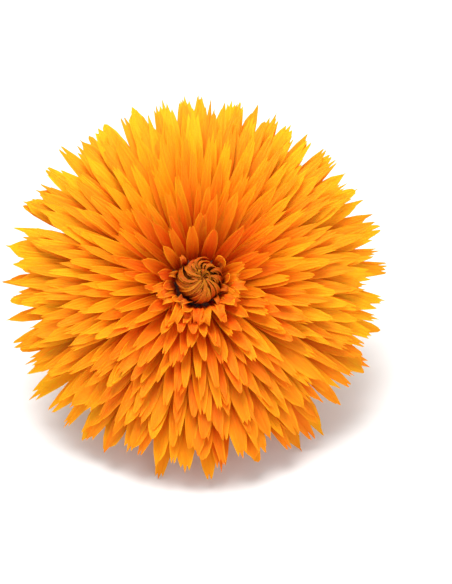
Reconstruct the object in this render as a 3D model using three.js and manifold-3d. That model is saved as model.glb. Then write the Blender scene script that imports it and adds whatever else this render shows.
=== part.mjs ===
// A double sunflower, picked with a short stem and laid on a table.
// It rests on the stem and on the lowest petals, so that its face looks up and forward.
//
// Millimetres, +Z up. The face turns towards -Y and the stem lies along +Y.
// The petals and bracts are worked out in the flower's own frame, whose origin is the middle of
// the head: radius and angle lie in the plane of the face, and depth runs out along its axis.

import * as THREE from "three";
import { mergeVertices } from "three/addons/utils/BufferGeometryUtils.js";
import Module from "manifold-3d";

const wasm = await Module();
wasm.setup();

// ---- driving dimensions ----

const faceTilt = THREE.MathUtils.degToRad(45); // of the face's axis above the table
const headHeight = 52; // of the middle of the head above the table

const bloomRadius = 75; // to the tips of the outer rays
const eyeRadius = 14.5; // to the tips of the innermost rays
const domeDepth = 43; // from the rim to the top of the bloom
const rimDrop = 12; // how far the outer tips hang back behind the middle of the head
const lowerReach = 1.3; // power that spaces the tips of the rings, below the eye
const upperReach = 1.8; // and above it

const outerRayCount = 24;
const whorlCounts = [46, 50, 50, 49, 47, 45, 42, 38, 33, 28, 23, 18]; // from the outside in
const petalThickness = 0.8;
const widestPetal = 9;
const narrowestPetal = 4.4;

const receptacleRadius = 27;
const innermostRoot = 8.5; // where the innermost ring stands on the receptacle
const receptacleCrown = 8; // height of the receptacle's top over the middle of the head
const receptacleFall = 12; // how much lower its edge is than its top
const receptacleDepth = 22; // from the middle of the head back to the stem
const gap = 0.3; // between neighbours that touch in the real flower
const finest = 0.05; // detail smaller than this is left off the rings

const stemRadius = 5;
const neckRadius = 7;
const straightStem = 55; // the stretch that lies on the table

const bractSeries = [
  { name: "outer_bract", count: 13, root: 23.5, rootDepth: -15, reach: 50, tipDepth: -23, width: 10.5 },
  { name: "inner_bract", count: 8, root: 27.9, rootDepth: -8.5, reach: 47, tipDepth: -11, width: 11.5 },
];

const ringCount = whorlCounts.length; // rings inside the outer rays
const turn = 2 * Math.PI;

// ---- the head's place over the table ----

const faceAxis = new THREE.Vector3(0, -Math.cos(faceTilt), Math.sin(faceTilt));
const faceUp = new THREE.Vector3(0, Math.sin(faceTilt), Math.cos(faceTilt));
const faceRight = new THREE.Vector3(1, 0, 0);
const headCentre = new THREE.Vector3(0, 0, headHeight);

// How far the table lifts a tip of the outer rays, at an angle measured from faceRight.
function tableLift(angle) {
  const tipHeight = headHeight + bloomRadius * Math.sin(angle) * Math.cos(faceTilt);
  return Math.max(0, rimDrop - tipHeight / Math.sin(faceTilt));
}

// A point of the head in the part's frame. The table's lift grows from the receptacle to the rim,
// and it moves all petals alike, so that their order is kept.
function headPoint(radius, depth, angle) {
  const outward = Math.max(0, (radius - receptacleRadius) / (bloomRadius - receptacleRadius));
  const liftedDepth = depth + tableLift(angle) * outward * outward;
  const point = headCentre
    .clone()
    .addScaledVector(faceRight, radius * Math.cos(angle))
    .addScaledVector(faceUp, radius * Math.sin(angle))
    .addScaledVector(faceAxis, liftedDepth);
  point.z = Math.max(0, point.z);
  return point;
}

// ---- the course of the petals from the receptacle to their tips, in radius and depth ----

const lerp = THREE.MathUtils.lerp;

// Share 0 is the outer rays and share 1 the innermost ring. The petals of the middle rings reach
// further out above the eye than below it.
function petalCourse(share, angle = 0) {
  const rootRadius = lerp(receptacleRadius, innermostRoot, share);
  const rootDepth = receptacleCrown - receptacleFall * (rootRadius / receptacleRadius) ** 2;
  const reachPower = lerp(lowerReach, upperReach, 0.5 + 0.5 * Math.sin(angle));
  const tipRadius = lerp(bloomRadius, eyeRadius, share ** reachPower);
  const tipDepth = domeDepth * Math.sqrt(1 - (tipRadius / bloomRadius) ** 2) - rimDrop;
  const rootSlope = THREE.MathUtils.degToRad(lerp(25, 84, share ** 0.8));
  const tipSlope = THREE.MathUtils.degToRad(lerp(-35, 50, share));
  const root = new THREE.Vector2(rootRadius, rootDepth);
  const tip = new THREE.Vector2(tipRadius, tipDepth);
  return new THREE.QuadraticBezierCurve(root, meetingPoint(root, rootSlope, tip, tipSlope), tip);
}

// Where the line that leaves root at one slope meets the line that reaches tip at another.
function meetingPoint(root, rootSlope, tip, tipSlope) {
  const across = tip.clone().sub(root);
  const turn = Math.sin(rootSlope - tipSlope);
  const along = (across.y * Math.cos(tipSlope) - across.x * Math.sin(tipSlope)) / turn;
  return new THREE.Vector2(
    root.x + along * Math.cos(rootSlope),
    root.y + along * Math.sin(rootSlope),
  );
}

// The petal's half width along its course: a narrow claw, a strap-shaped blade and a short tip.
function petalHalfWidth(along, fullWidth) {
  const clawShare = 0.4;
  const rise = lerp(clawShare, 1, THREE.MathUtils.smoothstep(along, 0, 0.5));
  const tipShare = 0.3;
  const fall = Math.sqrt(Math.min(1, Math.max(0, 1 - along) / tipShare));
  return (fullWidth / 2) * Math.min(rise, fall);
}

// ---- solids ----

// Bends a cone of this many sides and steps: place(along, across, over) gives each vertex its point.
// Along runs from 0 at the root to 1 at the tip, and across and over from -1 to 1 round the section.
function bentCone(sides, steps, place) {
  const cone = new THREE.ConeGeometry(1, 1, sides, steps);
  cone.deleteAttribute("normal");
  cone.deleteAttribute("uv");
  const blank = mergeVertices(cone);
  const position = blank.getAttribute("position");
  for (let i = 0; i < position.count; i++) {
    const along = position.getY(i) + 0.5;
    const taper = Math.max(1 - along, 1e-6);
    const point = place(along, position.getX(i) / taper, position.getZ(i) / taper);
    position.setXYZ(i, point.x, point.y, point.z);
  }
  return blank;
}

// One of count petals that stand side by side, each kept inside its own share of the turn.
function petal(share, angle, count, sides, steps) {
  const ownCourse = petalCourse(share, angle);
  const fullWidth = narrowestPetal + (widestPetal - narrowestPetal) * (1 - share) ** 1.6;
  const widestSpread = 0.46 * (turn / count);
  return bentCone(sides, steps, (along, across, over) => {
    const isTip = along > 0.999;
    const ownRadius = ownCourse.getPoint(along).x;
    const halfWidth = petalHalfWidth(along, fullWidth);
    const turned = isTip ? 0 : across * Math.min(halfWidth / ownRadius, widestSpread);
    const course = petalCourse(share, angle + turned);
    const centre = course.getPoint(along);
    const heading = course.getTangent(along);
    const rise = isTip ? 0 : (over * petalThickness) / 2;
    const shift = 2 * gap * (1 - along);
    return headPoint(
      centre.x - heading.y * rise + heading.x * shift,
      centre.y + heading.x * rise + heading.y * shift,
      angle + turned,
    );
  });
}

function bract(series, angle) {
  const root = new THREE.Vector2(series.root, series.rootDepth);
  const tip = new THREE.Vector2(series.reach, series.tipDepth);
  const middle = root.clone().lerp(tip, 0.5).add(new THREE.Vector2(2, 2.5));
  const course = new THREE.QuadraticBezierCurve(root, middle, tip);
  const thickness = 1;
  return bentCone(4, 6, (along, across, over) => {
    const centre = course.getPoint(along);
    const heading = course.getTangent(along);
    const blade = Math.sqrt(Math.max(0, 1 - ((along - 0.25) / 0.75) ** 2)) * (1 - 0.35 * along);
    const side = ((across * series.width) / 2) * blade;
    const rise = ((over * thickness) / 2) * (1 - along);
    return headPoint(
      centre.x - heading.y * rise,
      centre.y + heading.x * rise,
      angle + side / centre.x,
    );
  });
}

// The band that joins a ring of petals at their roots, with one flat for each petal.
function collar(share, count, firstAngle) {
  const course = petalCourse(share);
  const heading = course.getTangent(0);
  const foot = course.getPoint(0).addScaledVector(heading, gap);
  const bandHeight = 2;
  const half = 0.6;
  const corner = (side, up) =>
    new THREE.Vector2(
      foot.x - heading.y * side + heading.x * up,
      foot.y + heading.x * side + heading.y * up,
    );
  const outline = [
    corner(-half, 0),
    corner(-half, bandHeight),
    corner(half, bandHeight),
    corner(half, 0),
    corner(-half, 0),
  ];
  return latheOnHead(outline, count, firstAngle + turn / (2 * count));
}

// A turned shape about the face's axis, with its outline in radius and depth.
function latheOnHead(outline, steps, firstAngle = 0) {
  const turned = new THREE.LatheGeometry(outline, steps);
  turned.deleteAttribute("normal");
  turned.deleteAttribute("uv");
  const blank = mergeVertices(turned, 1e-3);
  const position = blank.getAttribute("position");
  for (let i = 0; i < position.count; i++) {
    const [x, depth, z] = [position.getX(i), position.getY(i), position.getZ(i)];
    const point = headPoint(Math.hypot(x, z), depth, Math.atan2(-z, x) + firstAngle);
    position.setXYZ(i, point.x, point.y, point.z);
  }
  return blank;
}

// ---- joining, with manifold-3d ----

function solidOf(geometry) {
  const triVerts = new Uint32Array(geometry.index.array);
  const vertProperties = new Float32Array(geometry.getAttribute("position").array);
  const solid = new wasm.Manifold(new wasm.Mesh({ numProp: 3, vertProperties, triVerts }));
  if (solid.volume() > 0) return solid;
  const turned = new THREE.BufferGeometry();
  turned.setAttribute("position", geometry.getAttribute("position"));
  turned.setIndex([...geometry.index.array].reverse());
  return solidOf(turned);
}

function geometryOf(solid) {
  const { numProp, numVert, triVerts, vertProperties } = solid.getMesh();
  const geometry = new THREE.BufferGeometry();
  const places = new Float32Array(numVert * 3);
  for (let i = 0; i < numVert; i++) {
    places.set(vertProperties.subarray(i * numProp, i * numProp + 3), i * 3);
  }
  geometry.setAttribute("position", new THREE.BufferAttribute(places, 3));
  geometry.setIndex(new THREE.BufferAttribute(triVerts, 1));
  geometry.computeVertexNormals();
  return geometry;
}

const joined = (solids) => solids.reduce((all, one) => all.add(one));

// ---- materials ----

const paint = (color, roughness) =>
  new THREE.MeshStandardMaterial({ color, roughness, metalness: 0 });

const rayPaint = paint(0xf9a01c, 0.55);
const ringPaint = paint(0xf18a18, 0.55);
const youngPaint = paint(0xb8691a, 0.6);
const bractPaint = paint(0x4d6b2c, 0.7);
const stemPaint = paint(0x6a8a3c, 0.65);

// ---- the pieces ----

const flower = new THREE.Group();

function addPiece(name, solid, material) {
  const piece = new THREE.Mesh(geometryOf(solid), material);
  piece.name = name;
  flower.add(piece);
}

const numbered = (name, index) => `${name}_${String(index + 1).padStart(2, "0")}`;
const straightDown = -Math.PI / 2;

// The stem leaves the back of the head along its axis, bends down in an arc and lies on the table.
function stemCourse() {
  const start = headCentre.clone().addScaledVector(faceAxis, 6 - receptacleDepth);
  const bendStart = headCentre.clone().addScaledVector(faceAxis, -receptacleDepth);
  const bendRadius = (bendStart.z - stemRadius) / (1 - Math.cos(faceTilt));
  const touchdown = bendStart.y + bendRadius * Math.sin(faceTilt);
  const points = [start];
  const bendSteps = 12;
  for (let i = 0; i <= bendSteps; i++) {
    const slope = faceTilt * (1 - i / bendSteps);
    points.push(
      new THREE.Vector3(
        0,
        touchdown - bendRadius * Math.sin(slope),
        stemRadius + bendRadius * (1 - Math.cos(slope)),
      ),
    );
  }
  points.push(new THREE.Vector3(0, touchdown + straightStem / 2, stemRadius));
  points.push(new THREE.Vector3(0, touchdown + straightStem, stemRadius));
  return points;
}

// A tube through the stem's points that narrows from the neck to the stem's own radius.
function stemTube() {
  const points = stemCourse();
  const last = points.length - 1;
  const tube = new THREE.CylinderGeometry(1, 1, 1, 16, last);
  tube.deleteAttribute("normal");
  tube.deleteAttribute("uv");
  const blank = mergeVertices(tube);
  const position = blank.getAttribute("position");
  for (let i = 0; i < position.count; i++) {
    const step = Math.round((0.5 - position.getY(i)) * last);
    const before = points[Math.max(0, step - 1)];
    const after = points[Math.min(last, step + 1)];
    const heading = after.clone().sub(before).normalize();
    const over = new THREE.Vector3().crossVectors(faceRight, heading);
    const narrowing = THREE.MathUtils.smoothstep(step / last, 0, 0.75);
    const radius = lerp(neckRadius, stemRadius, narrowing);
    const point = points[step]
      .clone()
      .addScaledVector(faceRight, radius * position.getX(i))
      .addScaledVector(over, radius * position.getZ(i));
    position.setXYZ(i, point.x, point.y, Math.max(0, point.z));
  }
  return blank;
}

// The receptacle is the stem's own swollen end: a low crown that carries the petals, over a back
// that curves in to the neck.
function receptacle() {
  const crown = [];
  const crownSteps = 6;
  for (let i = 0; i <= crownSteps; i++) {
    const radius = ((receptacleRadius + 1) * i) / crownSteps;
    const depth = receptacleCrown - receptacleFall * (radius / receptacleRadius) ** 2;
    crown.push(new THREE.Vector2(radius, depth));
  }
  const back = [
    new THREE.Vector2(27.5, -9),
    new THREE.Vector2(24, -13.5),
    new THREE.Vector2(17, -18),
    new THREE.Vector2(10, -21),
    new THREE.Vector2(0, -22),
  ];
  return latheOnHead([...crown, ...back].reverse(), 28);
}

addPiece("stem", solidOf(receptacle()).add(solidOf(stemTube())), stemPaint);

for (const series of bractSeries) {
  for (let i = 0; i < series.count; i++) {
    const angle = straightDown + ((i + 0.5) / series.count) * turn;
    addPiece(numbered(series.name, i), solidOf(bract(series, angle)), bractPaint);
  }
}

for (let i = 0; i < outerRayCount; i++) {
  const angle = straightDown + (i / outerRayCount) * turn;
  addPiece(numbered("outer_ray", i), solidOf(petal(0, angle, outerRayCount, 4, 7)), rayPaint);
}

whorlCounts.forEach((count, ring) => {
  const share = (ring + 1) / ringCount;
  const steps = share > 0.5 ? 2 : 3;
  const firstAngle = straightDown + (ring % 2 ? turn / (2 * count) : 0);
  const solids = [solidOf(collar(share, count, firstAngle))];
  for (let i = 0; i < count; i++) {
    solids.push(solidOf(petal(share, firstAngle + (i / count) * turn, count, 3, steps)));
  }
  const whorl = joined(solids).asOriginal().simplify(finest);
  addPiece(numbered("ray_ring", ring), whorl, ringPaint);
});

// The button of young florets, furled over the middle of the receptacle.
const button = [
  new THREE.Vector2(0, 8.4),
  new THREE.Vector2(5.6, 7.9),
  new THREE.Vector2(6.6, 14),
  new THREE.Vector2(8, 20),
  new THREE.Vector2(7.4, 24),
  new THREE.Vector2(4.4, 26.4),
  new THREE.Vector2(0, 27.4),
];
addPiece("young_florets", solidOf(latheOnHead(button, 20)), youngPaint);

// The origin is the middle of the box that holds the flower, on the table.
const box = new THREE.Box3().setFromObject(flower);
const middle = box.getCenter(new THREE.Vector3());
flower.position.set(-middle.x, -middle.y, -box.min.z);

export default flower;
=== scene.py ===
import math
import random

import bmesh
import bpy
from mathutils import Matrix, Vector


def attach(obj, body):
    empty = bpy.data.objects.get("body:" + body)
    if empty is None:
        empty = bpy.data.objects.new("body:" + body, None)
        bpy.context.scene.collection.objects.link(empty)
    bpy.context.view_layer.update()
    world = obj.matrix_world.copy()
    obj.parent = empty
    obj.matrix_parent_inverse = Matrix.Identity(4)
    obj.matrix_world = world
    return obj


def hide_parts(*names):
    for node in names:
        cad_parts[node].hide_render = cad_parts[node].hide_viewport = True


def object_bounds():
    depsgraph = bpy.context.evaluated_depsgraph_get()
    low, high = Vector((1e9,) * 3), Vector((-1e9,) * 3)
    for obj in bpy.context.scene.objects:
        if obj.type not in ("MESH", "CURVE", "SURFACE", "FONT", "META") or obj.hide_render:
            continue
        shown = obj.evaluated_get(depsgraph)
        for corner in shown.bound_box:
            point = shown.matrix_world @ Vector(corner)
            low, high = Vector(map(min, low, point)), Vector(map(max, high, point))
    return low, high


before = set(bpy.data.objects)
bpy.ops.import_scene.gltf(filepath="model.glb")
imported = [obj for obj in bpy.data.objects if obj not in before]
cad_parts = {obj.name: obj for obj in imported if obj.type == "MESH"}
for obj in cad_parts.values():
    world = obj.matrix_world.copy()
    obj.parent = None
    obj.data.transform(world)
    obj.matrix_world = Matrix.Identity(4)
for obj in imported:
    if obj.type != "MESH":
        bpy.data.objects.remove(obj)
cadBounds = [list(corner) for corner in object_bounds()]
print("frame loaded")


# the flower's own frame: radius and angle lie in the plane of its face, depth along its axis
head = {
    "faceTilt": math.radians(45),  # of the face's axis above the table
    "height": 0.052,  # of the middle of the head
    "bloomRadius": 0.075,
    "eyeRadius": 0.0145,  # to the tips of the innermost ring
    "domeDepth": 0.043,
    "rimDrop": 0.012,
    "lowerReach": 1.3,  # power that spaces the tips of the rings, below the eye
    "upperReach": 1.8,  # and above it
    "cupRadius": 0.027,  # the receptacle that carries the petals
    "innermostRoot": 0.0085,  # where the innermost ring stands on the receptacle
    "cupCrown": 0.008,
    "cupFall": 0.012,
    "cupDepth": 0.022,
}
stem = {
    "radius": 0.005,
    "neckRadius": 0.007,
    "straight": 0.055,  # the stretch that lies on the table
    "sides": 60,
    "steps": 56,
    "ribs": 12,
    "ribDepth": 0.035,
    "rind": 0.0007,
    "bristles": 420,
    "bristleFoot": 0.00013,
    "bristleTip": 0.00002,
    "seed": 8,
}

faceAxis = Vector((0, -math.cos(head["faceTilt"]), math.sin(head["faceTilt"])))
faceUp = Vector((0, math.sin(head["faceTilt"]), math.cos(head["faceTilt"])))
faceRight = Vector((1, 0, 0))

bendStart = Vector((0, head["cupDepth"] * math.cos(head["faceTilt"]),
                    head["height"] - head["cupDepth"] * math.sin(head["faceTilt"])))
bendRadius = (bendStart.z - stem["radius"]) / (1 - math.cos(head["faceTilt"]))
touchdown = bendStart.y + bendRadius * math.sin(head["faceTilt"])
headY = cadBounds[1][1] - touchdown - stem["straight"]  # the cut end is the object's back
headCentre = Vector((0, headY, head["height"]))
lowest = 0.0003  # nothing that rests comes nearer the table than this


def mix(a, b, share):
    return a + (b - a) * share


def smoothStep(low, high, x):
    share = min(1, max(0, (x - low) / (high - low)))
    return share * share * (3 - 2 * share)


def tableLift(angle):
    tipHeight = head["height"] + head["bloomRadius"] * math.sin(angle) * math.cos(head["faceTilt"])
    return max(0, head["rimDrop"] - tipHeight / math.sin(head["faceTilt"]))


def headPoint(radius, depth, angle):
    # a point of the head in the part's frame; the table lifts what would go through it
    outward = max(0, (radius - head["cupRadius"]) / (head["bloomRadius"] - head["cupRadius"]))
    lifted = depth + tableLift(angle) * outward * outward
    point = (headCentre + faceRight * (radius * math.cos(angle))
             + faceUp * (radius * math.sin(angle)) + faceAxis * lifted)
    point.z = max(lowest, point.z)
    return point


def petalCourse(share, angle, reach=0.0, lift=0.0, curl=0.0):
    # from the receptacle to the tip, in radius and depth; share 0 is the outer rays and
    # share 1 the innermost ring, and the rest are one petal's own habits
    reachPower = mix(head["lowerReach"], head["upperReach"], 0.5 + 0.5 * math.sin(angle))
    rootRadius = mix(head["cupRadius"], head["innermostRoot"], share)
    root = Vector((rootRadius, head["cupCrown"]
                   - head["cupFall"] * (rootRadius / head["cupRadius"]) ** 2))
    tipRadius = mix(head["bloomRadius"], head["eyeRadius"], share ** reachPower) + reach
    onDome = min(0.999, tipRadius / head["bloomRadius"])
    tip = Vector((tipRadius, head["domeDepth"] * math.sqrt(1 - onDome ** 2)
                  - head["rimDrop"] + lift))
    rootSlope = math.radians(mix(25, 84, share ** 0.8))
    tipSlope = math.radians(mix(-35, 50, share)) + curl
    across = tip - root
    turn = math.sin(rootSlope - tipSlope)
    along = (across.y * math.cos(tipSlope) - across.x * math.sin(tipSlope)) / turn
    bend = root + Vector((math.cos(rootSlope), math.sin(rootSlope))) * along
    return root, bend, tip


def coursePoint(course, along):
    root, bend, tip = course
    centre = root * (1 - along) ** 2 + bend * (2 * along * (1 - along)) + tip * along ** 2
    heading = (bend - root) * (1 - along) + (tip - bend) * along
    return centre, heading.normalized()


view = {
    "azimuth": math.radians(-5),
    "elevation": math.radians(40),
    "distance": 0.95,
    "lens": 155,
    "aimDepth": 0.024,  # the middle of the eye, out along the face's axis
    "aimRight": 0.0102,  # how far the middle of the picture lies from it
    "aimDown": 0.0044,
}
cameraData = bpy.data.cameras.new("camera")
cameraData.lens = view["lens"]
cameraData.sensor_width = 36
cameraData.clip_end = 20
camera = bpy.data.objects.new("camera", cameraData)
bpy.context.scene.collection.objects.link(camera)
towards = Vector((math.sin(view["azimuth"]) * math.cos(view["elevation"]),
                  -math.cos(view["azimuth"]) * math.cos(view["elevation"]),
                  math.sin(view["elevation"])))
turned = (-towards).to_track_quat("-Z", "Y")
pictureRight = turned @ Vector((1, 0, 0))
pictureUp = turned @ Vector((0, 1, 0))
eyeMiddle = headCentre + faceAxis * view["aimDepth"]
aim = eyeMiddle + pictureRight * view["aimRight"] - pictureUp * view["aimDown"]
camera.location = aim + towards * view["distance"]
camera.rotation_euler = turned.to_euler()
bpy.context.scene.camera = camera


def newMaterial(name):
    material = bpy.data.materials.new(name)
    material.use_nodes = True
    nodes = material.node_tree.nodes
    nodes.clear()
    output = nodes.new("ShaderNodeOutputMaterial")
    shader = nodes.new("ShaderNodeBsdfPrincipled")
    material.node_tree.links.new(shader.outputs[0], output.inputs[0])
    return material, shader


def addNode(material, kind, inputs=None, **settings):
    node = material.node_tree.nodes.new(kind)
    for name, value in settings.items():
        setattr(node, name, value)
    for name, value in (inputs or {}).items():
        socket = node.inputs[name]
        if isinstance(value, bpy.types.NodeSocket):
            material.node_tree.links.new(value, socket)
        else:
            socket.default_value = value
    return node


def connect(material, source, target):
    material.node_tree.links.new(source, target)


def addRamp(material, factor, stops):
    ramp = addNode(material, "ShaderNodeValToRGB", {"Fac": factor})
    elements = ramp.color_ramp.elements
    while len(elements) > 1:
        elements.remove(elements[-1])
    elements[0].position, elements[0].color = stops[0][0], (*stops[0][1], 1)
    for position, colour in stops[1:]:
        elements.new(position).color = (*colour, 1)
    return ramp.outputs["Color"]


def addMath(material, operation, a, b=0.0, c=0.0):
    return addNode(material, "ShaderNodeMath", {0: a, 1: b, 2: c}, operation=operation).outputs[0]


def addMix(material, factor, a, b, blend="MIX"):
    node = addNode(material, "ShaderNodeMix", data_type="RGBA", blend_type=blend)
    for index, value in ((0, factor), (6, a), (7, b)):
        if isinstance(value, bpy.types.NodeSocket):
            connect(material, value, node.inputs[index])
        else:
            node.inputs[index].default_value = value if index == 0 else (*value, 1)
    return node.outputs[2]


petalFinish = {
    "tips": [(0.0, (0.98, 0.41, 0.006)), (0.4, (0.97, 0.36, 0.006)), (0.75, (0.95, 0.27, 0.006)),
             (1.0, (0.92, 0.225, 0.008))],
    "paintedShadeSide": (0.88, 0.165, 0.006),  # painted shade: towards the table the tips are painted redder, standing for the warm shade of the lower side
    "bloom": [(0.12, (0.52, 0.055, 0.002)), (0.24, (0.76, 0.125, 0.003)),
              (0.36, (0.88, 0.18, 0.004)), (0.48, (0.96, 0.27, 0.005)),
              (0.62, (0.98, 0.32, 0.007)), (0.85, (0.96, 0.35, 0.008))],
    "blade": (0.94, 0.15, 0.004),
    "root": (0.82, 0.06, 0.002),
    "streak": (0.90, 0.13, 0.004),
    # painted highlight along the edges
    "edge": (0.98, 0.44, 0.010),
    "streakShare": 0.4,
    "roughness": (0.55, 0.75),
    "veinsAcross": 8,
    "ribs": 3,
}
youngFinish = {
    "tips": [(0.0, (0.16, 0.03, 0.003)), (0.3, (0.50, 0.21, 0.014)), (0.6, (0.58, 0.15, 0.009)),
             (1.0, (0.90, 0.25, 0.010))],
    # painted shade of the table side, which every strap of the eye takes
    "paintedShadeSide": (0.55, 0.11, 0.006),
    "bloom": [(0.0, (0.46, 0.15, 0.012)), (0.1, (0.52, 0.12, 0.008)), (0.2, (0.7, 0.15, 0.006))],
    "blade": (0.56, 0.10, 0.004),
    # painted shade: the straps' roots, down in the eye, are painted near black
    "root": (0.10, 0.012, 0.001),
    "streak": (0.32, 0.045, 0.003),
    # painted highlight along the edges
    "edge": (0.72, 0.24, 0.014),
    "streakShare": 0.6,
    "roughness": (0.55, 0.75),
    "veinsAcross": 4,
    "ribs": 1,
}
petalFlesh = {
    "Specular IOR Level": 0.07,
    "Subsurface Weight": 0.35,
    "Subsurface Radius": (1.0, 0.3, 0.03),
    "Subsurface Scale": 0.003,
}


def makePetalMaterial(name, finish):
    material, shader = newMaterial(name)
    uv = addNode(material, "ShaderNodeUVMap", uv_map="petalMap").outputs[0]
    split = addNode(material, "ShaderNodeSeparateXYZ", {0: uv})
    across, along = split.outputs[0], split.outputs[1]
    share = addNode(material, "ShaderNodeAttribute", attribute_name="ringShare").outputs["Fac"]
    habit = addNode(material, "ShaderNodeAttribute", attribute_name="ownTint").outputs["Fac"]
    shade = addNode(material, "ShaderNodeAttribute", attribute_name="paintedShadeSide").outputs["Fac"]

    # deep at the root and clear towards the tip
    tips = addRamp(material, share, finish["tips"])
    # painted shade: towards the table the tips are pulled to a redder colour
    tips = addMix(material, addMath(material, "MULTIPLY", shade, 0.85), tips, finish["paintedShadeSide"])
    deep = addRamp(material, along, [(0.05, finish["root"]), (0.45, finish["blade"])])
    reach = addNode(material, "ShaderNodeMapRange",
                    {"Value": along, "From Min": 0.3, "From Max": 0.85}).outputs[0]
    colour = addMix(material, reach, deep, tips)

    # the bloom as a whole pales outwards, and its upper petals follow that more than their own:
    # painted light, the upper side kept smooth as if evenly lit while the lower petals keep their
    # deep roots
    outward = addNode(material, "ShaderNodeAttribute", attribute_name="outward").outputs["Fac"]
    lowness = addMath(material, "POWER", shade, 2.0)
    follows = addMath(material, "MULTIPLY_ADD", lowness, -0.75, 0.92)
    colour = addMix(material, follows, colour, addRamp(material, outward, finish["bloom"]))

    # streaks along the petal, edges painted paler as a painted highlight, and a tint of its own
    streakPlace = addNode(material, "ShaderNodeCombineXYZ", {
        0: addMath(material, "MULTIPLY", across, finish["veinsAcross"]),
        1: addMath(material, "MULTIPLY", along, 1.8),
        2: addMath(material, "MULTIPLY", habit, 37.0),
    }).outputs[0]
    streaks = addNode(material, "ShaderNodeTexNoise",
                      {"Vector": streakPlace, "Scale": 1.0, "Detail": 3.0}).outputs["Fac"]
    streakDark = addNode(material, "ShaderNodeMapRange", {
        "Value": streaks, "From Min": 0.4, "From Max": 0.72, "To Min": 0.0,
        "To Max": finish["streakShare"]}).outputs[0]
    colour = addMix(material, streakDark, colour, finish["streak"])
    # painted highlight: the edges are painted paler towards the tip, where light catches them
    fromMiddle = addMath(material, "ABSOLUTE", addMath(material, "MULTIPLY_ADD", across, 2.0, -1.0))
    edge = addMath(material, "MULTIPLY", addMath(material, "POWER", fromMiddle, 4.0), 0.4)
    colour = addMix(material, addMath(material, "MULTIPLY", edge, along), colour, finish["edge"])
    own = addNode(material, "ShaderNodeHueSaturation", {
        "Hue": addMath(material, "MULTIPLY_ADD", habit, 0.018, 0.491),
        "Value": addMath(material, "MULTIPLY_ADD", habit, 0.1, 0.93), "Color": colour,
    }).outputs[0]
    connect(material, own, shader.inputs["Base Color"])

    # ribs and fine veins stand up a little
    ribs = addMath(material, "SINE",
                   addMath(material, "MULTIPLY", across, finish["ribs"] * 2 * math.pi))
    relief = addMath(material, "MULTIPLY_ADD", ribs, 0.25, streaks)
    bump = addNode(material, "ShaderNodeBump", {
        "Strength": 0.45, "Distance": 0.0004, "Height": relief})
    connect(material, bump.outputs[0], shader.inputs["Normal"])
    rough = addNode(material, "ShaderNodeMapRange", {
        "Value": streaks, "To Min": finish["roughness"][0],
        "To Max": finish["roughness"][1]}).outputs[0]
    connect(material, rough, shader.inputs["Roughness"])
    for name, value in petalFlesh.items():
        shader.inputs[name].default_value = value
    return material


def makeLeafMaterial(name, light, dark, pale, stretch=1.0):
    # a stretch under 1 draws the blotches out into streaks along the stem
    material, shader = newMaterial(name)
    objectPlace = addNode(material, "ShaderNodeTexCoord").outputs["Object"]
    place = addNode(material, "ShaderNodeVectorMath",
                    {0: objectPlace, 1: (1.0, stretch, 1.0)}, operation="MULTIPLY").outputs[0]
    blotches = addNode(material, "ShaderNodeTexNoise",
                       {"Vector": place, "Scale": 260.0, "Detail": 4.0}).outputs["Fac"]
    base = addRamp(material, blotches, [(0.3, dark), (0.55, light), (0.75, pale)])
    fine = addNode(material, "ShaderNodeTexNoise",
                   {"Vector": place, "Scale": 1400.0, "Detail": 2.0}).outputs["Fac"]
    speckled = addMix(material, addMath(material, "MULTIPLY", fine, 0.25), base, pale)
    connect(material, speckled, shader.inputs["Base Color"])
    bump = addNode(material, "ShaderNodeBump",
                   {"Strength": 0.4, "Distance": 0.0003, "Height": fine})
    connect(material, bump.outputs[0], shader.inputs["Normal"])
    rough = addNode(material, "ShaderNodeMapRange",
                    {"Value": blotches, "To Min": 0.5, "To Max": 0.75}).outputs[0]
    connect(material, rough, shader.inputs["Roughness"])
    return material


petalSatin = makePetalMaterial("petalSatin", petalFinish)
youngSatin = makePetalMaterial("youngSatin", youngFinish)
bractGreen = makeLeafMaterial("bractGreen", (0.10, 0.19, 0.03), (0.045, 0.1, 0.012),
                              (0.24, 0.34, 0.09))
stemGreen = makeLeafMaterial("stemGreen", (0.17, 0.27, 0.06), (0.11, 0.19, 0.035),
                             (0.28, 0.38, 0.12), stretch=0.12)
cutPith = makeLeafMaterial("cutPith", (0.55, 0.58, 0.36), (0.4, 0.46, 0.22), (0.72, 0.72, 0.55))
# brown chaff of the crown, darkened near black as a painted shadow at the bottom of the gaps
# between florets
chaffAndShadow = makeLeafMaterial("chaffAndShadow", (0.09, 0.02, 0.004), (0.04, 0.008, 0.002),
                              (0.2, 0.05, 0.01))
print("materials made")


petals = {
    "counts": [24, 46, 50, 50, 49, 47, 45, 42, 38, 33, 28, 23, 18],  # from the outside in
    "widest": 0.0073,
    "narrowest": 0.0044,
    "columns": 4,
    "rows": 7,
    "thickness": 0.00025,
    "crispAngle": math.radians(50),
    "wander": 0.34,  # of the angle between neighbours
    "loose": (0.14, 0.8),  # how freely a petal lies at the top of the face, and at the table
    # each petal draws its own habits between these
    "reach": (-0.006, 0.0012),  # of its tip past the ring's
    "eyeReach": (-0.0035, 0.005),  # the same in the rings nearest the eye
    "lift": (-0.0012, 0.0024),
    "curl": (-0.28, 0.2),
    "width": (0.7, 1.2),  # as a share of its ring's
    "cup": (0.06, 0.36),
    "roll": (0.05, 0.3),
    "twist": (-0.4, 0.4),
    "sway": (-0.0036, 0.0036),
    "toothLength": (1.0, 1.8),
    "seed": 11,
}
ringTotal = len(petals["counts"])
straightDown = -math.pi / 2

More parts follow.
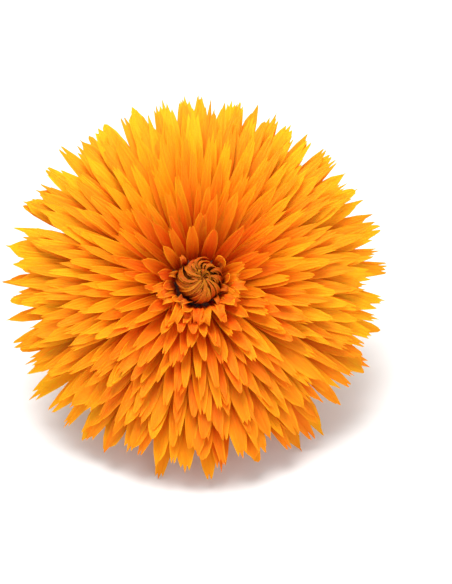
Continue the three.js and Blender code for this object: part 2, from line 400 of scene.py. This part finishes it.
# tips with one, two or three teeth: how much of the width the very end keeps, and how far
# each column of it stands out, as a share of the petal's length
tipShapes = [
    {"keeps": 0.32, "teeth": [-0.018, -0.01, 0.02, -0.008, -0.016]},
    {"keeps": 0.6, "teeth": [0.008, 0.02, -0.034, 0.026, 0.012]},
    {"keeps": 0.8, "teeth": [-0.004, -0.036, 0.022, -0.036, -0.01]},
    {"keeps": 0.5, "teeth": [-0.032, -0.026, 0.0, 0.028, 0.016]},
    {"keeps": 0.62, "teeth": [-0.016, -0.006, 0.0, -0.012, -0.022]},
]


def strapWidth(along):
    claw = mix(0.38, 1, smoothStep(0.0, 0.5, along))
    narrowing = 1 - 0.42 * smoothStep(0.72, 1.0, along)
    return claw * narrowing


def addPetal(bm, layers, share, angle, width, chance):
    # a flat grid, shaped into a cupped, slightly twisted strap with a toothed tip
    grid = bmesh.ops.create_grid(bm, x_segments=petals["columns"], y_segments=petals["rows"],
                                 size=0.5, calc_uvs=True)
    shade = 0.5 - 0.5 * math.sin(angle)  # 0 at the top of the face, 1 at the table
    loose = mix(*petals["loose"], shade ** 1.6)  # the upper petals lie closer together
    reach = chance.triangular(*petals["reach"], 0.0) * mix(1, 0.9, share)
    if share > 0.6:
        reach = chance.uniform(*petals["eyeReach"])
    if share > 0.8:
        reach += chance.uniform(0, 0.009) * (1 - shade)
    lift = chance.uniform(*petals["lift"]) * loose
    course = petalCourse(share, angle, reach, lift, chance.uniform(*petals["curl"]) * loose)
    halfWidth = width * chance.uniform(*petals["width"]) / 2
    cupped = chance.uniform(*petals["cup"]) * mix(1, 1.5, share) * loose
    roll = chance.choice((-1, 1)) * chance.uniform(*petals["roll"]) * loose
    twist = chance.uniform(*petals["twist"]) * loose
    sway = chance.uniform(*petals["sway"]) * mix(1, 0.6, share) * mix(0.5, 1, shade)
    tipShape = chance.choice(tipShapes)
    teeth = tipShape["teeth"] if chance.random() < 0.5 else tipShape["teeth"][::-1]
    toothLength = min(1.7, chance.uniform(*petals["toothLength"]) * halfWidth / 0.0035)
    keeps = tipShape["keeps"] * chance.uniform(0.85, 1.15)
    tint = chance.random()
    for vert in grid["verts"]:
        side = vert.co.x * 2
        row = vert.co.y + 0.5
        along = 1 - (1 - row) ** 1.2
        column = round((vert.co.x + 0.5) * petals["columns"])
        spread = strapWidth(along) * (keeps if row > 0.99 else 1)
        along += teeth[column] * toothLength * (1 if row > 0.99 else 0.2 * row ** 4)
        centre, heading = coursePoint(course, along)
        across = side * halfWidth * spread
        over = cupped * halfWidth * spread * (side * side - 0.4)
        turned = roll + twist * along
        sideways = across * math.cos(turned) - over * math.sin(turned) + sway * along ** 2
        outwards = across * math.sin(turned) + over * math.cos(turned)
        radius = centre.x - heading.y * outwards
        vert.co = headPoint(radius, centre.y + heading.x * outwards,
                            angle + sideways / max(centre.x, 0.004))
        vert[layers["share"]] = share
        vert[layers["tint"]] = tint
        vert[layers["shade"]] = shade
        vert[layers["outward"]] = radius / head["bloomRadius"]


def newPetalMesh():
    bm = bmesh.new()
    bm.loops.layers.uv.new("petalMap")
    layers = {"share": bm.verts.layers.float.new("ringShare"),
              "tint": bm.verts.layers.float.new("ownTint"),
              "shade": bm.verts.layers.float.new("paintedShadeSide"),
              "outward": bm.verts.layers.float.new("outward")}
    return bm, layers


def thicken(bm, faces, thickness):
    # makes thin closed blades of the flat ones, with a crisp edge all round
    bmesh.ops.solidify(bm, geom=faces, thickness=thickness)
    bmesh.ops.recalc_face_normals(bm, faces=bm.faces[:])
    for edge in bm.edges:
        edge.smooth = edge.calc_face_angle(0) < petals["crispAngle"]


def finishPiece(bm, name, material, nodes, thickness=0.0, smoother=0):
    mesh = bpy.data.meshes.new(name)
    for face in bm.faces:
        face.smooth = True
    bm.to_mesh(mesh)
    bm.free()
    piece = bpy.data.objects.new(name, mesh)
    bpy.context.scene.collection.objects.link(piece)
    for one in material if isinstance(material, (list, tuple)) else [material]:
        mesh.materials.append(one)
    if smoother:
        softened = piece.modifiers.new("softened", "SUBSURF")
        softened.levels = smoother
        softened.render_levels = smoother
    if thickness:
        walls = piece.modifiers.new("walls", "SOLIDIFY")
        walls.thickness = thickness
        walls.offset = 0
    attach(piece, "root")
    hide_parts(*nodes)


eye = {
    "knobRadius": 0.0075,
    "knobTop": 0.0233,
    "outerStraps": 34,
    "innerStraps": 18,
    "curls": 7,
    "heap": 15,
    "heapReach": (0.015, 0.0195),
    "heapTop": (0.0252, 0.028),
    "drift": Vector((0.0017, 0.0012)),  # the straps close over a point off the middle
    "seed": 5,
}


def addStrap(bm, layers, angle, course, width, swirl, share, chance, bow=0.3, blunt=0.2):
    # a narrow floret that leaves the root, arches over the peak and dips to the tip, turning as
    # it goes; its course is three pairs of radius and depth
    grid = bmesh.ops.create_grid(bm, x_segments=2, y_segments=8, size=0.5, calc_uvs=True)
    root, peak, tip = (Vector(place) for place in course)
    bent = (root, peak * 2 - (root + tip) / 2, tip)
    tint = chance.random()
    twist = chance.uniform(-0.5, 0.5)
    closing = tip.x < root.x
    for vert in grid["verts"]:
        side = vert.co.x * 2
        along = vert.co.y + 0.5
        notch = -0.09 if along > 0.99 and side == 0 and blunt > 0.3 else 0
        centre, heading = coursePoint(bent, along + notch)
        halfWidth = width / 2 * mix(1, blunt, smoothStep(0.4, 1, along))
        over = -bow * halfWidth * (side * side - 0.3) + twist * along * side * halfWidth
        spun = angle + swirl * smoothStep(0.1, 1, along)
        radius = centre.x - heading.y * over
        place = (Matrix.Rotation(spun, 2) @ Vector((radius, side * halfWidth))
                 + eye["drift"] * (along if closing else 0))
        vert.co = headPoint(place.length, centre.y + heading.x * over,
                            math.atan2(place.y, place.x))
        vert[layers["share"]] = share
        vert[layers["tint"]] = tint
        # painted shade: every strap of the eye, and the heap below it, takes most of the table
        # side's painted shade
        vert[layers["shade"]] = 0.9
        vert[layers["outward"]] = place.length / head["bloomRadius"]


def addHeap(bm, layers):
    # below the eye lies a loose heap of short florets with notched ends
    chance = random.Random(eye["seed"] + 1)
    for i in range(eye["heap"]):
        angle = math.pi * (0.98 + 1.04 * (i + chance.uniform(0.1, 0.9)) / eye["heap"])
        reach = chance.uniform(*eye["heapReach"])
        peak = (mix(0.0112, reach, 0.35), chance.uniform(*eye["heapTop"]))
        tip = (reach, peak[1] + chance.uniform(-0.0022, 0.0008))
        addStrap(bm, layers, angle, ((0.0104, 0.018), peak, tip), chance.uniform(0.0036, 0.0052),
                 chance.uniform(-0.18, 0.18), 1.0, chance, -0.45, chance.uniform(0.5, 0.8))


def makePetals():
    chance = random.Random(petals["seed"])
    for ring, count in enumerate(petals["counts"]):
        share = ring / (ringTotal - 1)
        width = mix(petals["widest"], petals["narrowest"], 1 - (1 - share) ** 1.6)
        step = 2 * math.pi / count
        firstAngle = straightDown + (0 if ring % 2 else step / 2) * (ring > 0)
        bm, layers = newPetalMesh()
        for i in range(count):
            angle = firstAngle + step * (i + chance.uniform(-1, 1) * petals["wander"])
            addPetal(bm, layers, share, angle, width, chance)
            if ring == 0:
                thicken(bm, bm.faces[:], petals["thickness"])
                finishPiece(bm, f"rayPetal_{i + 1:02d}", petalSatin,
                            [f"outer_ray_{i + 1:02d}"])
                bm, layers = newPetalMesh()
        if ring == 0:
            bm.free()
            continue
        if share == 1:
            addHeap(bm, layers)
        thicken(bm, bm.faces[:], petals["thickness"])
        finishPiece(bm, f"petalRing_{ring:02d}", petalSatin, [f"ray_ring_{ring:02d}"])


makePetals()
print("petals made")


def makeEye():
    chance = random.Random(eye["seed"])
    bm, layers = newPetalMesh()
    knob = bmesh.ops.create_uvsphere(bm, u_segments=24, v_segments=12, radius=1)
    for vert in knob["verts"]:
        spot = vert.co.copy()
        vert.co = headPoint(eye["knobRadius"] * math.hypot(spot.x, spot.y),
                            mix(0.0085, eye["knobTop"], (spot.z + 1) / 2),
                            math.atan2(spot.y, spot.x))
    for vert in knob["verts"]:
        vert[layers["outward"]] = 0.05
    for i in range(eye["innerStraps"]):
        angle = (i + chance.uniform(-0.4, 0.4)) / eye["innerStraps"] * 2 * math.pi
        course = ((0.0044, 0.02), (0.0034, chance.uniform(0.0246, 0.0258)),
                  (chance.uniform(0, 0.0012), 0.0234))
        addStrap(bm, layers, angle, course, chance.uniform(0.0009, 0.0015),
                 chance.uniform(0.6, 1.4), 0.3, chance)
    for i in range(eye["outerStraps"]):
        angle = (i + chance.uniform(-0.5, 0.5)) / eye["outerStraps"] * 2 * math.pi
        high = chance.uniform(-0.0008, 0.001)
        wide = chance.uniform(0.0062, 0.0082)
        course = ((wide, 0.0165), (wide * 0.97, 0.0243 + high),
                  (chance.uniform(0.001, 0.0046), 0.0248 + high * 0.6))
        below = 0.5 - 0.5 * math.sin(angle - 0.6)
        addStrap(bm, layers, angle, course, chance.uniform(0.0015, 0.0026),
                 mix(1.1, 0.2, below) * chance.uniform(0.6, 1.3), 0.6, chance)
    for i in range(eye["curls"]):
        # some that have begun to open lean out over the dark gap
        angle = (i + chance.uniform(-0.5, 0.5)) / eye["curls"] * 2 * math.pi
        below = 0.5 - 0.5 * math.sin(angle)
        reach = mix(0.0105, 0.0142, below) * chance.uniform(0.9, 1.1)
        course = ((0.0085, 0.017), (0.0098, chance.uniform(0.0238, 0.0258)),
                  (reach, chance.uniform(0.0235, 0.0268)))
        addStrap(bm, layers, angle, course, chance.uniform(0.002, 0.003),
                 chance.uniform(-0.25, 0.3), 1.0, chance, -0.5, 0.5)
    knobFaces = {face for vert in knob["verts"] for face in vert.link_faces}
    thicken(bm, [face for face in bm.faces if face not in knobFaces], petals["thickness"])
    finishPiece(bm, "youngFlorets", youngSatin, ["young_florets"])


makeEye()
print("eye made")


bractHabits = {
    "thickness": 0.0006,
    "keel": 0.0005,  # how far the midrib stands up
    "droop": 0.001,  # and the edges hang
    "shoulder": 0.25,  # where the blade begins to narrow
    "seed": 3,
}
bractSeries = [
    {"node": "outer_bract", "piece": "outerBract", "count": 13, "width": 0.0105,
     "root": 0.0235, "rootDepth": -0.015, "reach": 0.05, "tipDepth": -0.023},
    {"node": "inner_bract", "piece": "innerBract", "count": 8, "width": 0.0115,
     "root": 0.0279, "rootDepth": -0.0085, "reach": 0.047, "tipDepth": -0.011},
]


def makeBracts():
    chance = random.Random(bractHabits["seed"])
    shoulder = bractHabits["shoulder"]
    for series in bractSeries:
        for i in range(series["count"]):
            angle = straightDown + (i + 0.5) / series["count"] * 2 * math.pi
            bm = bmesh.new()
            grid = bmesh.ops.create_grid(bm, x_segments=8, y_segments=14, size=0.5)
            root = Vector((series["root"], series["rootDepth"]))
            tip = Vector((series["reach"], series["tipDepth"]))
            bend = (root + tip) / 2 + Vector((0.002, 0.0025))
            course = (root, bend, tip)
            curl = chance.uniform(-0.002, 0.001)
            sway = chance.uniform(-0.0015, 0.0015)
            for vert in grid["verts"]:
                side = vert.co.x * 2
                along = vert.co.y + 0.5
                centre, heading = coursePoint(course, along)
                pastShoulder = max(0, along - shoulder) / (1 - shoulder)
                blade = math.sqrt(max(0, 1 - pastShoulder ** 1.6))
                blade *= mix(1, 0.55, along)
                across = side * series["width"] / 2 * blade
                over = (bractHabits["keel"] * math.cos(side * math.pi / 2) * blade
                        - bractHabits["droop"] * side * side * blade + curl * along ** 3)
                vert.co = headPoint(centre.x - heading.y * over,
                                    centre.y + heading.x * over,
                                    angle + (across + sway * along ** 2) / centre.x)
            finishPiece(bm, f"{series['piece']}_{i + 1:02d}", bractGreen,
                        [f"{series['node']}_{i + 1:02d}"], bractHabits["thickness"], 1)


makeBracts()
print("bracts made")


def stemPlace(share):
    # the middle of the stem and its heading, from the back of the head to the cut end
    arcLength = bendRadius * head["faceTilt"]
    run = share * (arcLength + stem["straight"])
    origin = Vector((0, headCentre.y, 0))
    if run < arcLength:
        slope = head["faceTilt"] - run / bendRadius
        place = Vector((0, touchdown - bendRadius * math.sin(slope),
                        stem["radius"] + bendRadius * (1 - math.cos(slope))))
        return origin + place, Vector((0, math.cos(slope), -math.sin(slope)))
    past = run - arcLength
    return origin + Vector((0, touchdown + past, stem["radius"])), Vector((0, 1, 0))


def stemWidth(share):
    return mix(stem["neckRadius"], stem["radius"], smoothStep(0, 0.75, share))


def stemPoint(share, turn, out=0.0):
    middle, heading = stemPlace(share)
    over = faceRight.cross(heading)
    ribbed = 1 - stem["ribDepth"] * (0.5 + 0.5 * math.cos(turn * stem["ribs"]))
    radius = stemWidth(share) * ribbed + out
    point = middle + faceRight * (radius * math.cos(turn)) + over * (radius * math.sin(turn))
    point.z = max(0.0, point.z)
    return point


cup = {
    "under": 0.0002,  # how far the crown lies under the petals' roots
    "overhang": 0.0005,
    "crownSteps": 8,
    "steps": 56,
    "crownBelow": -0.0045,  # what is higher on the head than this is crown
    "back": [(0.0277, -0.0063), (0.0273, -0.0092), (0.0256, -0.0122), (0.0218, -0.0156),
             (0.0168, -0.0182), (0.0118, -0.0205), (0.0085, -0.0232), (0.0068, -0.0262)],
}


def makeStem():
    chance = random.Random(stem["seed"])
    bm = bmesh.new()
    tube = bmesh.ops.create_grid(bm, x_segments=stem["sides"], y_segments=stem["steps"], size=0.5)
    for vert in tube["verts"]:
        turn = (vert.co.x + 0.5) * 2 * math.pi
        vert.co = stemPoint(vert.co.y + 0.5, turn)
    bmesh.ops.remove_doubles(bm, verts=bm.verts[:], dist=1e-6)

    # the cut end: a rind, then pith
    endY = max(vert.co.y for vert in bm.verts)
    endEdges = [edge for edge in bm.edges
                if edge.is_boundary and all(abs(v.co.y - endY) < 1e-6 for v in edge.verts)]
    capped = bmesh.ops.holes_fill(bm, edges=endEdges, sides=0)
    bmesh.ops.inset_region(bm, faces=capped["faces"], thickness=stem["rind"], depth=0.0)
    for face in capped["faces"]:
        face.material_index = 1

    # the receptacle is the stem's own swollen end
    profile = []
    for i in range(cup["crownSteps"] + 1):
        radius = (head["cupRadius"] + cup["overhang"]) * i / cup["crownSteps"]
        depth = head["cupCrown"] - head["cupFall"] * (radius / head["cupRadius"]) ** 2
        profile.append((radius, depth - cup["under"]))
    profile += cup["back"]
    points = [bm.verts.new((radius, 0, depth)) for radius, depth in profile]
    edges = [bm.edges.new(pair) for pair in zip(points, points[1:])]
    bmesh.ops.spin(bm, geom=points + edges, axis=(0, 0, 1), cent=(0, 0, 0),
                   angle=2 * math.pi, steps=cup["steps"], use_merge=True)
    cupVerts = set(points)
    for edge in edges:
        cupVerts.update(edge.verts)
    reached = True
    while reached:
        reached = [edge.other_vert(vert) for vert in list(cupVerts) for edge in vert.link_edges
                   if edge.other_vert(vert) not in cupVerts]
        cupVerts.update(reached)
    # painted shadow: the crown, seen only down the gaps, takes the near-black brown
    for face in {face for vert in cupVerts for face in vert.link_faces}:
        if face.calc_center_median().z > cup["crownBelow"]:
            face.material_index = 2
    for vert in cupVerts:
        x, y, depth = vert.co
        vert.co = headPoint(math.hypot(x, y), depth, math.atan2(y, x))
    bmesh.ops.remove_doubles(bm, verts=list(cupVerts), dist=1e-6)
    bmesh.ops.recalc_face_normals(bm, faces=bm.faces[:])

    # bristles, short and few
    for i in range(stem["bristles"]):
        share = chance.uniform(0.02, 0.985)
        turn = chance.uniform(0, 2 * math.pi)
        foot = stemPoint(share, turn, -0.0002)
        tip = stemPoint(share, turn, chance.uniform(0.0007, 0.0015))
        if (tip - foot).length < 0.0005:
            continue
        heading = stemPlace(share)[1]
        lean = (tip - foot).normalized() - heading * chance.uniform(0.1, 0.6)
        spike = bmesh.ops.create_cone(bm, segments=4, radius1=stem["bristleFoot"],
                                      radius2=stem["bristleTip"],
                                      depth=(tip - foot).length, cap_ends=True)
        rotation = lean.to_track_quat("Z", "Y").to_matrix().to_4x4()
        placed = Matrix.Translation(foot + lean.normalized() * (tip - foot).length / 2) @ rotation
        bmesh.ops.transform(bm, matrix=placed, verts=spike["verts"])
    finishPiece(bm, "stemAndCup", [stemGreen, cutPith, chaffAndShadow], ["stem"])


makeStem()
print("stem made")


floorMesh = bmesh.new()
bmesh.ops.create_grid(floorMesh, x_segments=1, y_segments=1, size=4)
floorData = bpy.data.meshes.new("floor")
floorMesh.to_mesh(floorData)
floorMesh.free()
floor = bpy.data.objects.new("floor", floorData)
bpy.context.scene.collection.objects.link(floor)
floorPaint, floorShader = newMaterial("floorPaint")
floorShader.inputs["Base Color"].default_value = (0.82, 0.82, 0.81, 1)
floorShader.inputs["Roughness"].default_value = 0.9
floorData.materials.append(floorPaint)

studio = {
    "sky": 0.7,
    "lamps": [
        {"name": "keyLamp", "place": (-0.12, 0.02, 1.25), "size": 0.8, "power": 18},
        {"name": "fillLamp", "place": (0.35, -1.1, 0.6), "size": 0.9, "power": 3.5},
    ],
}
world = bpy.data.worlds.new("studio")
world.use_nodes = True
world.node_tree.nodes["Background"].inputs["Color"].default_value = (1.0, 0.99, 0.97, 1)
world.node_tree.nodes["Background"].inputs["Strength"].default_value = studio["sky"]
bpy.context.scene.world = world
for lamp in studio["lamps"]:
    lampData = bpy.data.lights.new(lamp["name"], "AREA")
    lampData.shape = "DISK"
    lampData.size = lamp["size"]
    lampData.energy = lamp["power"]
    lampObject = bpy.data.objects.new(lamp["name"], lampData)
    lampObject.location = lamp["place"]
    aimed = (headCentre - Vector(lamp["place"])).to_track_quat("-Z", "Y")
    lampObject.rotation_euler = aimed.to_euler()
    bpy.context.scene.collection.objects.link(lampObject)
bpy.context.scene.view_settings.view_transform = "Standard"
print("stage lit")
